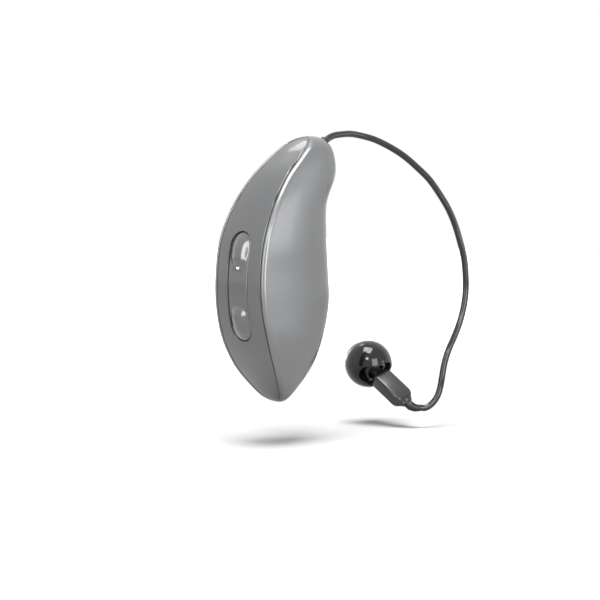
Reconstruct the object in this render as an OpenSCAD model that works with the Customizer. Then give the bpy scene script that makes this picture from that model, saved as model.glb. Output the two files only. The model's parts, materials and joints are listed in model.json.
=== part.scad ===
// Receiver-in-canal hearing aid for the right ear, rechargeable, in millimetres.
// +X points forward, +Y towards the head, +Z up. The origin is on the concave
// front of the housing at mid height, where it rests behind the ear.

/* [Housing] */
// Height of the housing from tip to tip
body_h = 31.4; // [29:0.1:34]
// Depth at mid height, from the ear rest to the edges of the spine cover
body_d = 13.5; // [13:0.1:14.2]
// Greatest width of the spine cover
cover_w = 7.4; // [7:0.1:8]
// Thickness of the spine cover
cover_t = 0.65; // [0.5:0.05:0.75]
// Wall of the two side shells
wall = 0.7; // [0.5:0.05:0.8]
// Gap between the spine cover and the side shells
cover_gap = 0.06; // [0.04:0.01:0.1]
// Rounding of the shell rims beside the cover
rim_r = 0.45; // [0.3:0.05:0.6]
// Ledge of each shell that the spine cover sits on
ledge_w = 0.5; // [0.3:0.05:0.7]
// Thickness of that ledge
ledge_t = 0.4; // [0.3:0.05:0.5]

/* [Rocker button] */
// Length of the rocker along the spine
rocker_l = 12.8; // [12:0.1:13.4]
// Width of the rocker
rocker_w = 3.2; // [2.8:0.1:3.6]
// Thickness of the rocker plate
rocker_t = 0.7; // [0.6:0.05:0.8]
// Gap all round the rocker
rocker_gap = 0.12; // [0.1:0.01:0.2]
// How far the rocker sits below the spine
rocker_sink = 0.1; // [0.05:0.05:0.2]
// How far the middle of the rocker lies below mid height
rocker_drop = 1.5; // [1:0.1:2]
// Tilt of the rocker each way, in degrees
rocker_tilt = 3; // [2:0.5:3]
// Length of each raised bump
bump_l = 3.7; // [3.2:0.1:4]
// Width of each raised bump
bump_w = 2.6; // [2.2:0.1:2.8]
// Height of each raised bump
bump_h = 0.5; // [0.3:0.05:0.6]
// Diameter of the hinge pin of the rocker
rocker_pin_d = 0.6; // [0.5:0.05:0.7]

/* [Cable and receiver] */
// Diameter of the receiver wire
wire_d = 0.8; // [0.7:0.05:0.9]
// Upward tilt of the plug in the top of the housing, in degrees
plug_rise = 25; // [20:1:30]
// Diameter of the plug
plug_d = 1.6; // [1.4:0.1:1.7]
// Length of the plug inside the housing
plug_l = 4.4; // [4:0.1:4.8]
// Length of the receiver case
receiver_l = 4.7; // [4.4:0.1:5.4]
// Width of the receiver case
receiver_w = 2.6; // [2.4:0.1:3]
// Height of the receiver case
receiver_h = 1.8; // [1.6:0.1:2.2]
// Upward tilt of the receiver, in degrees
receiver_pitch = 36; // [32:1:40]
// Swing of the receiver towards the back, in degrees
receiver_yaw = 10; // [5:1:15]
// Turn of the receiver about its own length, in degrees
receiver_roll = -25; // [-30:1:-20]
// Outer diameter of the ear dome
dome_d = 5.8; // [5:0.1:7]
// Wall of the ear dome
dome_wall = 0.3; // [0.25:0.05:0.4]

/* [Power and electronics] */
// Diameter of the rechargeable cell
cell_d = 5; // [4.6:0.1:5.2]
// Length of the rechargeable cell
cell_l = 11; // [10:0.5:11.5]
// Thickness of the circuit board
board_t = 0.4; // [0.3:0.05:0.5]
// Diameter of each charging contact
contact_d = 1.2; // [1:0.1:1.4]
// Distance between the two charging contacts
contact_pitch = 2.6; // [2.4:0.1:2.8]

/* [Hidden] */
$fn = 48;

// Outline of the housing, at equal steps of the station angle from the top
// tip (0) to the bottom tip (180). Places are shares of body_d in front of
// (plus) or behind (minus) the ear rest; widths are shares of cover_w / 2.
spine_share = [-0.124, -0.237, -0.405, -0.627, -0.818, -0.951, -1, -0.99,
  -0.921, -0.812, -0.688, -0.595, -0.511];
front_share = [-0.124, 0, 0.093, 0.113, -0.01, -0.02, 0, 0.01, -0.072,
  -0.196, -0.361, -0.454, -0.511];
width_share = [0, 0.38, 0.58, 0.72, 0.86, 0.95, 0.97, 0.995, 1, 0.87, 0.61,
  0.33, 0];
station_step = 180 / (len(spine_share) - 1);
// Crown of the spine cover and of the housing tips, as a share of half width
crown_share = 0.09;
// Side of the housing: where its curve bulges and how square the front is
flare_run_share = 0.45;
flare_share = 0.04;
front_square_share = 1;
// Station angles of the housing tips and of the ends of the spine cover
tip_u = 3;
cover_u = 6;
cover_round_u = 12;
// Depth of a section at which its walls have their full thickness
full_depth = 5;
// Half of the seam between the two side shells
seam = 0.03;
shell_steps = 40;
side_steps = 9;
fine = 0.01;
overrun = 1;

// Smooth curve through a list of shares, at equal steps
function curve(list, s) =
  let (n = len(list) - 1, i = min(n - 1, floor(s)), f = s - i,
    b = list[i], c = list[i + 1],
    a = i > 0 ? list[i - 1] : 2 * b - c,
    d = i < n - 1 ? list[i + 2] : 2 * c - b)
  b + f * ((c - a) / 2 + f * ((a - 2.5 * b + 2 * c - 0.5 * d)
    + f * (1.5 * (b - c) + 0.5 * (d - a))));
function spine_x(u) = body_d * curve(spine_share, u / station_step);
function front_x(u) = body_d * curve(front_share, u / station_step);
function half_w(u) = cover_w / 2 * curve(width_share, u / station_step);
function body_z(u) = body_h / 2 * cos(u);
function u_at(z) = acos(2 * z / body_h);
function apex_x(u) = spine_x(u) - crown_share * half_w(u);
function thin(u) = min(1, (front_x(u) - spine_x(u)) / full_depth);
// Half width of the opening for the spine cover, round at both ends
function cover_round(u) =
  let (v = min(u, 180 - u) - cover_u, s = min(1, max(0, v / cover_round_u)))
  sqrt(1 - (1 - s) * (1 - s));
function opening_w(u) = half_w(u) * cover_round(u);
function crown_at(u, y) =
  let (w = half_w(u))
  spine_x(u) - crown_share * w * (1 - pow(min(1, y / w), 2));
// Height of a layer that lies t inside the outer surface
function layer_z(u, t) = body_z(u) * (1 - 2 * t / body_h);
function bezier(t, a, b, c, d) = pow(1 - t, 3) * a + 3 * t * pow(1 - t, 2) * b
  + 3 * t * t * (1 - t) * c + t * t * t * d;
function side_point(t, x0, y0, x1) = bezier(t, [x0, y0],
  [x0 + flare_run_share * (x1 - x0), y0 * (1 + flare_share)],
  [x1, y0 * front_square_share], [x1, seam]);
// A place on the outside of a shell, from its rim (0) to the front (1)
function side_at(u, t) = side_point(t, spine_x(u) + rim_r * thin(u),
  half_w(u) + cover_gap + rim_r * thin(u), front_x(u));
// Tilt of the spine and of the front from upright, in degrees
function spine_tilt(u) = atan2(apex_x(u - 1) - apex_x(u + 1),
  body_z(u - 1) - body_z(u + 1));
function front_tilt(u) = atan2(front_x(u - 1) - front_x(u + 1),
  body_z(u - 1) - body_z(u + 1));

// Stack of the rocker button, from the spine inwards along X
rocker_z = -rocker_drop;
rocker_u = u_at(rocker_z);
rocker_x = apex_x(rocker_u) + rocker_sink;
rocker_sag = (apex_x(u_at(rocker_z + rocker_l / 2))
  + apex_x(u_at(rocker_z - rocker_l / 2))) / 2 - apex_x(rocker_u);
spine_r = (pow(rocker_l / 2, 2) + pow(rocker_sag, 2)) / (2 * rocker_sag);
spine_cx = rocker_x + spine_r;
function rocker_face(z) = spine_cx - sqrt(pow(spine_r, 2) - z * z);
bump_z = (rocker_l - bump_l) / 2 - (rocker_w - bump_w) / 2;
pivot_drop = 0.55;
pivot_x = rocker_x + rocker_t + pivot_drop;
lug_w = 1.2;
running_gap = 0.03;
push_gap = 0.04;
pin_head_d = 1.3;
pin_head_t = 0.3;
pin_shank_d = 0.7;
ring_t = 0.15;
ring_wall = 0.25;
plate_t = 0.4;
pin_nose = 0.16;
press_travel = bump_z * sin(rocker_tilt);
press_slack = 0.03;
foot_rim = 0.15;
foot_d = pin_head_d + 2 * foot_rim;
foot_x = spine_cx - sqrt(pow(spine_r - rocker_t, 2)
  - pow(bump_z + foot_d / 2, 2));
head_x = foot_x + push_gap;
head_room = 0.42;
plate_x = head_x + pin_head_t + head_room;
pin_tip_x = plate_x + plate_t + pin_nose;
switch_x = pin_tip_x + press_travel + press_slack;
switch_h = 0.5;
switch_l = 2.4;
switch_w = 2.2;
board_x = switch_x + switch_h;
board_w = 5;
board_l = 13.2;
frame_w = 4.6;
frame_l = 11.8;
frame_leg = 0.6;
lug_gap = 0.05;
lug_t = 0.6;
lug_h_gap = 0.12;

// Chassis, cell and what they carry
rest_gap = 0.04;
chassis_gap = 0.14;
chassis_back_gap = 0.5;
chassis_wall = 0.4;
chassis_u = [27, 150];
chassis_steps = 20;
chassis_x = board_x + board_t + rest_gap;
cell_x = chassis_x + chassis_wall + rest_gap + cell_d / 2;
cell_top_z = 0.2;
cell_tip_d = 1.6;
cell_tip_l = 0.4;
block_u = 124;
block_w = 2;
block_t = 1.3;
block_sink = 0.15;
block_rim = 0.4;
pad_l = 1;
mic_u = [38, 56];
mic_l = 2.6;
mic_w = 1.8;
mic_t = 1;
screen_t = 0.15;
screen_w = 1.4;
inlet_l = 1.6;
inlet_w = 0.2;
floor_y = 1.9;
side_bay = [[-8.4, 2.8], [-3.6, 8.2]];
pin_d = 0.7;
pin_z = [9.2, -12.2];
pin_side_share = 0.4;
pin_sunk = 0.15;
pin_end = 1.8;
marker_d = 1.2;
marker_t = 0.4;
marker_proud = 0.04;
marker_u = 62;
marker_side_share = 0.5;

// Plug: its outer end is where the wire starts
exit_at = [0.8, 0, 15];
collar_d = 1.15;
collar_l = 1.9;
retainer_d = 0.5;
retainer_at = -3.2;
retainer_l = 3;
blade_l = 1;

// Route of the receiver wire, from the plug to the boot on the receiver
wire_route = [exit_at, [1.6, 0, 15.37], [2.4, 0, 15.6], [3.6, -0.1, 15.7],
  [5.1, -0.2, 15.7], [6.8, -0.4, 15.4], [8.6, -0.8, 14.9], [10.6, -1.3, 14],
  [12.6, -1.9, 12.8], [14.4, -2.5, 11.3], [15.9, -3.1, 9.8], [17.2, -3.6, 8],
  [18.3, -4.1, 6.1], [19.2, -4.4, 4.1], [19.8, -4.7, 2], [20.3, -4.9, 0],
  [20.5, -5, -2.2], [20.5, -5, -4.3], [20.1, -5, -6.2], [19.4, -5, -8],
  [18.4, -5, -9.7], [17.4, -5, -11.2], [16.8, -4.9, -12.8],
  [16.4, -4.9, -14.4], [16.2, -4.8, -15.6], [15.8, -4.7, -16.7],
  [15.2, -4.4, -17.6], [14.5, -4, -18.1], [13.9, -3.6, -18.1]];
boot_route = [[13.9, -3.6, -18.1], [13.45, -3.3, -18.1], [13.1, -3, -17.95],
  [12.87, -2.67, -17.7], [12.77, -2.3, -17.39], [12.7, -1.9, -17.1]];
receiver_at = [12.7, -1.9, -17.1];
boot_d = 1.15;

// A tube along a route: rings square to it, the ends square to their runs
function unit(v) = v / norm(v);
function heading(p, i) = unit(p[min(len(p) - 1, i + 1)] - p[max(0, i - 1)]);
function ring_on(p, i, d, n) =
  let (t = heading(p, i), a = unit(cross(t, [0, 1, 0])), b = cross(t, a))
  [for (k = [0:n - 1]) p[i] + d / 2 * (a * cos(360 * k / n)
    + b * sin(360 * k / n))];
function grid_faces(rows, n) = [for (i = [0:rows - 2]) for (k = [0:n - 1])
  for (f = [[i * n + k, i * n + (k + 1) % n, (i + 1) * n + (k + 1) % n],
    [i * n + k, (i + 1) * n + (k + 1) % n, (i + 1) * n + k]]) f];
module tube_along(p, d0, d1, n) {
  rows = len(p);
  points = [for (i = [0:rows - 1])
    each ring_on(p, i, d0 + (d1 - d0) * i / (rows - 1), n)];
  polyhedron(points, concat(grid_faces(rows, n),
    [[for (k = [n - 1:-1:0]) k]],
    [[for (k = [0:n - 1]) (rows - 1) * n + k]]));
}

// One ring of a side shell: outer skin from the opening to the front seam,
// then back along the inner skin to the ledge that carries the cover. The
// rings at the two tips close the hollow along the seam.
function shell_ring(u) =
  let (x0 = spine_x(u), x1 = front_x(u), f = thin(u),
    y0 = max(seam, opening_w(u) + cover_gap),
    xa = crown_at(u, y0), xb = x0 + rim_r * f,
    yb = half_w(u) + cover_gap + rim_r * f,
    xi = x0 + (cover_t + ledge_t) * f, yi = yb - wall * f,
    yl = max(seam / 2, y0 - ledge_w), m = side_steps + 4)
  concat(
    [for (a = [0:30:90]) [xa + (xb - xa) * (1 - cos(a)), y0 + (yb - y0) * sin(a),
      body_z(u)]],
    [for (i = [1:side_steps]) let (q = side_point(i / side_steps, xb, yb, x1))
      [q[0], q[1], body_z(u)]],
    min(u, 180 - u) < tip_u + fine ? [for (i = [1:m])
      [x1 + (xa - x1) * i / (m + 1), seam, body_z(u)]] : concat(
    [for (i = [side_steps:-1:0]) let (q = side_point(i / side_steps, xi, yi,
      x1 - wall * f)) [q[0], q[1], layer_z(u, wall)]],
    [[xi, yl, layer_z(u, cover_t + ledge_t)],
      [x0 + (cover_t + cover_gap) * f, yl, layer_z(u, cover_t)],
      [x0 + (cover_t + cover_gap) * f, y0, layer_z(u, cover_t)]]));

// A side shell without its holes, on the +Y side
module shell_form() {
  loft([for (i = [0:shell_steps]) each shell_ring(station(i, shell_steps, tip_u))],
    shell_steps + 1, 2 * (side_steps + 4));
}
// Station angle of ring i of n, the rings closer together at the two ends
function station(i, n, end_u) =
  90 - (90 - end_u) * (cos(180 * i / n) + 1 - 2 * i / n) / 2;

// Spine cover without its hole: a crowned skin and an inner skin, ring by ring
cover_steps = 36;
cover_cols = 4;
cover_edge_share = 0.3;
cover_end = 0.4;
cover_trim = 0.04;
function cover_ring(u) =
  let (w = opening_w(u) - cover_trim, f = thin(u),
    drop = cover_edge_share * cover_t * f)
  concat(
    [for (k = [-cover_cols:cover_cols]) let (s = k / cover_cols)
      [crown_at(u, abs(s) * w) + drop * pow(s, 8), s * w, body_z(u)]],
    [for (k = [cover_cols:-1:-cover_cols])
      let (y = k / cover_cols * w)
      [crown_at(u, abs(y)) + cover_t * f, y, layer_z(u, cover_t)]]);
module cover_form() {
  loft([for (i = [0:cover_steps])
    each cover_ring(station(i, cover_steps, cover_u + cover_end))],
    cover_steps + 1, 4 * cover_cols + 2);
}
// A closed solid from rings of n points, each ring there and back again
module loft(points, rows, n) {
  cap = [for (k = [0:n / 2 - 2]) for (f = [[k, k + 1, n - 2 - k],
    [k, n - 2 - k, n - 1 - k]]) f];
  last = (rows - 1) * n;
  polyhedron(points, concat(
    [for (f = grid_faces(rows, n)) [f[2], f[1], f[0]]], cap,
    [for (f = cap) [f[2] + last, f[1] + last, f[0] + last]]));
}

// Children placed on the spine or on the front at a station, with their
// own +X pointing inwards and +Z up along the surface
module on_spine(u) {
  translate([apex_x(u), 0, body_z(u)]) rotate([0, spine_tilt(u), 0]) children();
}
module on_front(u) {
  translate([front_x(u), 0, body_z(u)]) rotate([0, front_tilt(u), 0]) children();
}
// A bar with round ends, l long in Z and w wide in Y, from x0 to x1 along X
module obround_x(l, w, x0, x1) {
  translate([x0, 0, 0]) rotate([0, 90, 0]) linear_extrude(x1 - x0) {
    square([l - w, w], center = true);
    for (s = [-1, 1]) translate([s * (l - w) / 2, 0]) circle(d = w);
  }
}
// A round bar along X, and one along Y centred on the middle plane
module bar_x(d, x0, x1) {
  translate([x0, 0, 0]) rotate([0, 90, 0]) cylinder(d = d, h = x1 - x0);
}
module bar_y(d, l) {
  rotate([90, 0, 0]) cylinder(d = d, h = l, center = true);
}
module box_at(low, high) {
  translate(low) cube(high - low);
}
module at_rocker() {
  translate([0, 0, rocker_z]) children();
}
module at_plug() {
  translate(exit_at) rotate([0, 90 - plug_rise, 0]) children();
}
module at_receiver() {
  translate(receiver_at) rotate([receiver_pitch - 90, 0, receiver_yaw])
    rotate([0, 0, receiver_roll]) children();
}
// Children on the outside of the inner shell, their own +Y pointing outwards
module on_side(u, t) {
  p = side_at(u, t);
  d = side_at(u, t + fine) - p;
  translate([p[0], p[1], body_z(u)]) rotate([0, 0, atan2(d[1], d[0])])
    children();
}

module spine_cover() {
  color([0.55, 0.56, 0.57]) difference() {
    cover_form();
    at_rocker() obround_x(rocker_l + 2 * rocker_gap, rocker_w + 2 * rocker_gap,
      rocker_x - overrun, board_x);
    for (u = mic_u) on_spine(u) for (s = [-1, 1])
      translate([0, s * opening_w(u), 0]) box_at([-overrun, -inlet_w,
        -inlet_l / 2], [cover_t + overrun, inlet_w, inlet_l / 2]);
  }
}

// What both side shells are cut by
module shell_cuts() {
  at_plug() translate([0, 0, -collar_l - overrun])
    cylinder(d = collar_d + 2 * rest_gap, h = collar_l + 2 * overrun);
  at_plug() translate([0, 0, -plug_l])
    cylinder(d = plug_d + 2 * rest_gap, h = plug_l - collar_l + rest_gap);
  at_block() obround_x(block_l + 2 * rest_gap, block_w + 2 * rest_gap,
    -block_t - overrun, overrun);
}
module outer_shell() {
  color([0.72, 0.73, 0.74]) difference() {
    mirror([0, 1, 0]) shell_form();
    shell_cuts();
  }
}
module inner_shell() {
  color([0.72, 0.73, 0.74]) difference() {
    shell_form();
    shell_cuts();
    for (i = [0, 1]) translate([pin_at(i)[0], body_d / 2, pin_z[i]])
      bar_y(pin_d + 2 * rest_gap, body_d);
    at_marker() translate([0, marker_proud - marker_t, 0])
      bar_y(marker_d + 2 * rest_gap, 2 * marker_t);
    at_plug() translate([0, body_d / 2, retainer_at])
      bar_y(retainer_d + 2 * rest_gap, body_d);
  }
}
function pin_at(i) = side_at(u_at(pin_z[i]), pin_side_share);
module at_marker() {
  on_side(marker_u, marker_side_share) children();
}
block_l = contact_pitch + contact_d + 2 * block_rim;
module at_block() {
  on_front(block_u) translate([-block_sink, 0, 0]) children();
}

module button_seal() {
  ring = 0.5;
  seal_t = 0.25;
  seal_gap = 0.15;
  drop = cover_t + seal_gap;
  color([0.16, 0.16, 0.17]) at_rocker() intersection() {
    difference() {
      obround_x(rocker_l + 2 * rocker_gap + 2 * ring,
        rocker_w + 2 * rocker_gap + 2 * ring, rocker_x, board_x);
      obround_x(rocker_l + 2 * rocker_gap, rocker_w + 2 * rocker_gap,
        rocker_x - overrun, board_x + overrun);
    }
    translate([spine_cx, 0, 0]) difference() {
      bar_y(2 * (spine_r - drop), body_d);
      bar_y(2 * (spine_r - drop - seal_t), body_d + overrun);
    }
  }
}

module rocker_button() {
  bump_r = (pow(bump_l / 2, 2) + bump_h * bump_h) / (2 * bump_h);
  groove_l = 2 * bump_z - bump_l;
  groove_t = 0.12;
  groove_w = 1.9;
  color([0.66, 0.67, 0.68]) at_rocker() difference() {
    union() {
      intersection() {
        obround_x(rocker_l, rocker_w, rocker_x - overrun, board_x);
        translate([spine_cx, 0, 0]) difference() {
          bar_y(2 * spine_r, body_d);
          bar_y(2 * (spine_r - rocker_t), body_d + overrun);
        }
      }
      for (s = [-1, 1]) translate([rocker_face(bump_z), 0, s * bump_z])
        intersection() {
          obround_x(bump_l, bump_w, -overrun, rocker_t / 2);
          translate([bump_r - bump_h, 0, 0]) sphere(r = bump_r);
        }
      translate([pivot_x, 0, 0]) bar_y(2 * pivot_drop - 2 * push_gap, lug_w);
      box_at([rocker_x + rocker_t / 2, -lug_w / 2, -pivot_drop + push_gap],
        [pivot_x, lug_w / 2, pivot_drop - push_gap]);
      for (s = [-1, 1]) translate([0, 0, s * bump_z])
        bar_x(foot_d, rocker_face(bump_z) + rocker_t / 2, foot_x);
    }
    translate([pivot_x, 0, 0]) bar_y(rocker_pin_d + 2 * running_gap,
      lug_w + overrun);
    translate([rocker_face(0) + groove_t, 0, 0])
      obround_x(groove_l, groove_w, -overrun, 0);
    translate([0, 0, lens_z]) bar_x(lens_d, rocker_x - overrun, pivot_x);
  }
}
lens_z = 2.3;
lens_d = 0.5;
lens_proud = 0.05;
module indicator_lens() {
  face = rocker_face(lens_z);
  color([0.92, 0.94, 0.95]) at_rocker() translate([0, 0, lens_z])
    bar_x(lens_d, face - lens_proud, face + rocker_t + pivot_drop / 2);
}
module rocker_pin() {
  color([0.75, 0.76, 0.78]) at_rocker() translate([pivot_x, 0, 0])
    bar_y(rocker_pin_d, lug_w + 2 * lug_gap + 2 * lug_t);
}
module button_frame() {
  color([0.2, 0.2, 0.22]) at_rocker() difference() {
    union() {
      obround_x(frame_l, frame_w, plate_x, plate_x + plate_t);
      for (s = [-1, 1]) {
        translate([pivot_x, s * (lug_w / 2 + lug_gap + lug_t / 2), 0])
          bar_y(2 * pivot_drop - 2 * lug_h_gap, lug_t);
        box_at([pivot_x, s * (lug_w + 2 * lug_gap + lug_t) / 2 - lug_t / 2,
          -pivot_drop + lug_h_gap], [plate_x + plate_t / 2,
          s * (lug_w + 2 * lug_gap + lug_t) / 2 + lug_t / 2,
          pivot_drop - lug_h_gap]);
        for (t = [-1, 1]) translate([0, s * (frame_w / 2 - frame_leg),
          t * (frame_l - frame_w) / 2]) bar_x(frame_leg,
          plate_x + plate_t / 2, board_x);
      }
    }
    translate([pivot_x, 0, 0]) bar_y(rocker_pin_d, body_d);
    for (s = [-1, 1]) translate([0, 0, s * bump_z])
      bar_x(pin_shank_d + 2 * running_gap, plate_x - overrun,
        plate_x + plate_t + overrun);
    translate([0, 0, lens_z]) bar_x(2 * lens_d, plate_x - overrun,
      plate_x + plate_t + overrun);
  }
}
module push_pin(s) {
  color([0.85, 0.85, 0.82]) at_rocker() translate([0, 0, s * bump_z]) {
    bar_x(pin_head_d, head_x, head_x + pin_head_t);
    bar_x(pin_shank_d, head_x + pin_head_t / 2, pin_tip_x);
  }
}
module upper_push_pin() {
  push_pin(1);
}
module lower_push_pin() {
  push_pin(-1);
}
module pin_seals() {
  bore = pin_shank_d + 2 * running_gap;
  color([0.3, 0.3, 0.32]) at_rocker() for (s = [-1, 1])
    translate([0, 0, s * bump_z]) difference() {
      bar_x(bore + 2 * ring_wall, plate_x - ring_t, plate_x);
      bar_x(bore, head_x, plate_x + overrun);
    }
}
module push_switch(s) {
  dome_size = 1.5;
  dome_t = 0.12;
  color([0.8, 0.79, 0.74]) at_rocker() translate([0, 0, s * bump_z]) {
    box_at([switch_x + dome_t, -switch_w / 2, -switch_l / 2],
      [board_x, switch_w / 2, switch_l / 2]);
    bar_x(dome_size, switch_x, switch_x + 2 * dome_t);
  }
}
module upper_switch() {
  push_switch(1);
}
module lower_switch() {
  push_switch(-1);
}

module circuit_board() {
  color([0.1, 0.3, 0.18]) at_rocker()
    obround_x(board_l, board_w, board_x, board_x + board_t);
}
chip_l = 3.2;
chip_w = 3;
chip_t = 0.6;
chip_z = -0.9;
radio_z = 4.2;
radio_l = 2;
radio_w = 2;
module signal_processor() {
  color([0.12, 0.12, 0.13]) at_rocker() box_at([board_x - chip_t, -chip_w / 2,
    chip_z - chip_l / 2], [board_x, chip_w / 2, chip_z + chip_l / 2]);
}
module radio_chip() {
  color([0.14, 0.14, 0.15]) at_rocker() box_at([board_x + board_t,
    -radio_w / 2, radio_z - radio_l / 2], [board_x + board_t + chip_t,
    radio_w / 2, radio_z + radio_l / 2]);
}
led_t = 0.35;
led_w = 0.8;
module indicator_led() {
  color([0.9, 0.95, 0.8]) at_rocker() box_at([board_x - led_t, -led_w / 2,
    lens_z - led_w / 2], [board_x, led_w / 2, lens_z + led_w / 2]);
}

// The chassis fills the shells; it is cut for all that it carries
function chassis_ring(u) =
  let (f = thin(u), t = (wall + chassis_gap) * f,
    x0 = spine_x(u) + (cover_t + ledge_t) * f + chassis_back_gap,
    y0 = half_w(u) + cover_gap + rim_r * f - t,
    side = [for (i = [0:side_steps]) side_point(i / side_steps, x0, y0,
      front_x(u) - t)])
  concat([for (p = side) [p[0], p[1], layer_z(u, wall)]],
    [for (i = [side_steps:-1:0]) [side[i][0], -side[i][1], layer_z(u, wall)]]);
module chassis() {
  us = [for (i = [0:chassis_steps]) chassis_u[0]
    + (chassis_u[1] - chassis_u[0]) * i / chassis_steps];
  low = side_bay[0];
  high = side_bay[1];
  color([0.25, 0.26, 0.28]) difference() {
    loft([for (u = us) each chassis_ring(u)], chassis_steps + 1,
      2 * side_steps + 2);
    box_at([-2 * body_d, -body_d, rocker_z - board_l / 2 - overrun],
      [chassis_x, body_d, rocker_z + board_l / 2 + rest_gap]);
    at_rocker() box_at([chassis_x - overrun, -radio_w / 2 - rest_gap,
      radio_z - radio_l / 2 - rest_gap], [board_x + board_t + chip_t + rest_gap,
      radio_w / 2 + rest_gap, radio_z + radio_l / 2 + rest_gap]);
    translate([cell_x, 0, cell_top_z - cell_l - spring_t - 2 * rest_gap])
      cylinder(d = cell_d + 2 * rest_gap,
      h = cell_l + cell_tip_l + 2 * spring_t + 4 * rest_gap);
    box_at([cell_x - cell_d / 2 - rest_gap, 0, cell_top_z - cell_l - spring_t
      - 2 * rest_gap], [cell_x + cell_d / 2 + rest_gap, body_d, cell_top_z
      + cell_tip_l + spring_t + 2 * rest_gap]);
    for (s = [-1, 1]) box_at([low[0], s > 0 ? floor_y : -body_d, low[1]],
      [high[0], s > 0 ? body_d : -floor_y, high[1]]);
    for (i = [0, 1]) mic_place(i) box_at([-2 * mic_t, -mic_w / 2 - rest_gap,
      -mic_l / 2 - rest_gap], [mic_t + rest_gap, mic_w / 2 + rest_gap,
      mic_l / 2 + rest_gap]);
    at_plug() translate([0, 0, -plug_l - rest_gap])
      cylinder(d = plug_d + 2 * rest_gap, h = plug_l + overrun);
    at_plug() box_at([-blade_t, -3 * blade_w, -plug_l - blade_l - 2 * rest_gap],
      [2 * blade_t, 3 * blade_w, -plug_l]);
    at_plug() translate([0, 0, retainer_at]) bar_y(retainer_d, body_d);
    for (i = [0, 1]) translate([pin_at(i)[0], 0, pin_z[i]]) bar_y(pin_d, body_d);
    at_block() obround_x(block_l + 2 * rest_gap, block_w + 2 * rest_gap,
      -block_t - rest_gap, overrun);
  }
}
module battery_cell() {
  color([0.78, 0.79, 0.8]) translate([cell_x, 0, cell_top_z]) {
    translate([0, 0, -cell_l]) cylinder(d = cell_d, h = cell_l);
    translate([0, 0, -fine]) cylinder(d = cell_tip_d, h = cell_tip_l + fine);
  }
}
spring_t = 0.15;
tab_w = 1.4;
tab_l = 4;
module battery_tabs() {
  color([0.8, 0.78, 0.7]) translate([cell_x, 0, 0]) {
    for (z = [cell_top_z + cell_tip_l + rest_gap,
      cell_top_z - cell_l - spring_t - rest_gap])
      box_at([-tab_l / 2, -tab_w / 2, z], [tab_l / 2, tab_w / 2, z + spring_t]);
  }
}
module contact_block() {
  color([0.14, 0.14, 0.15]) at_block() difference() {
    obround_x(block_l, block_w, -block_t, 0);
    for (s = [-1, 1]) translate([0, 0, s * contact_pitch / 2])
      bar_x(contact_d, -pad_l, overrun);
  }
}
module charging_contacts() {
  color([0.86, 0.69, 0.32]) at_block() for (s = [-1, 1])
    translate([0, 0, s * contact_pitch / 2]) bar_x(contact_d, -pad_l, 0);
}
module mic_place(i) {
  on_spine(mic_u[i]) translate([cover_t + ledge_t + screen_t + 2 * rest_gap, 0, 0])
    children();
}
module microphone(i) {
  color([0.82, 0.82, 0.8]) mic_place(i) box_at([0, -mic_w / 2, -mic_l / 2],
    [mic_t, mic_w / 2, mic_l / 2]);
}
module front_microphone() {
  microphone(0);
}
module rear_microphone() {
  microphone(1);
}
module microphone_screens() {
  color([0.4, 0.4, 0.42]) for (i = [0, 1]) mic_place(i)
    translate([-screen_t, 0, 0]) bar_x(screen_w, 0, screen_t);
}
antenna_t = 0.12;
antenna_slot = 0.8;
module antenna_strip() {
  low = side_bay[0];
  high = side_bay[1];
  y0 = -floor_y - rest_gap - antenna_t;
  color([0.8, 0.5, 0.3]) difference() {
    box_at([low[0] + rest_gap, y0, low[1] + rest_gap],
      [high[0] - rest_gap, y0 + antenna_t, high[1] - rest_gap]);
    box_at([low[0] + antenna_slot, y0 - overrun, low[1] + antenna_slot],
      [high[0] + overrun, y0 + overrun, low[1] + 2 * antenna_slot]);
    box_at([low[0] - overrun, y0 - overrun, high[1] - 2 * antenna_slot],
      [high[0] - antenna_slot, y0 + overrun, high[1] - antenna_slot]);
  }
}
coil_d = 1;
coil_l = 3.8;
module telecoil() {
  mid = (side_bay[0] + side_bay[1]) / 2;
  color([0.6, 0.35, 0.2]) translate([mid[0],
    floor_y + rest_gap + coil_d / 2, mid[1] - coil_l / 2])
    cylinder(d = coil_d, h = coil_l);
}
module housing_pins() {
  color([0.7, 0.71, 0.72]) for (i = [0, 1]) let (y1 = pin_at(i)[1] - pin_sunk)
    translate([pin_at(i)[0], (y1 - pin_end) / 2, pin_z[i]])
      bar_y(pin_d, y1 + pin_end);
}
module side_marker() {
  color([0.8, 0.08, 0.1]) at_marker()
    translate([0, marker_proud - marker_t / 2, 0]) bar_y(marker_d, marker_t);
}

module cable_plug() {
  color([0.1, 0.1, 0.11]) at_plug() difference() {
    union() {
      translate([0, 0, -plug_l]) cylinder(d = plug_d, h = plug_l - collar_l);
      translate([0, 0, -collar_l - fine]) cylinder(d = collar_d,
        h = collar_l + fine);
    }
    translate([0, 0, retainer_at]) bar_y(retainer_d, body_d);
  }
}
blade_w = 0.3;
blade_t = 0.1;
module socket_contacts() {
  color([0.86, 0.69, 0.32]) at_plug() for (s = [-1, 0, 1])
    translate([0, (2 * s - 0.5) * blade_w, -plug_l - rest_gap - blade_l])
      cube([blade_t, blade_w, blade_l]);
}
module retaining_pin() {
  color([0.75, 0.76, 0.78]) at_plug() translate([0, 0, retainer_at])
    bar_y(retainer_d, retainer_l);
}

module receiver_wire() {
  color([0.06, 0.06, 0.07]) tube_along(wire_route, wire_d, wire_d, 8);
}
module wire_boot() {
  color([0.12, 0.12, 0.13]) tube_along(boot_route, wire_d, boot_d, 10);
}

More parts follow.
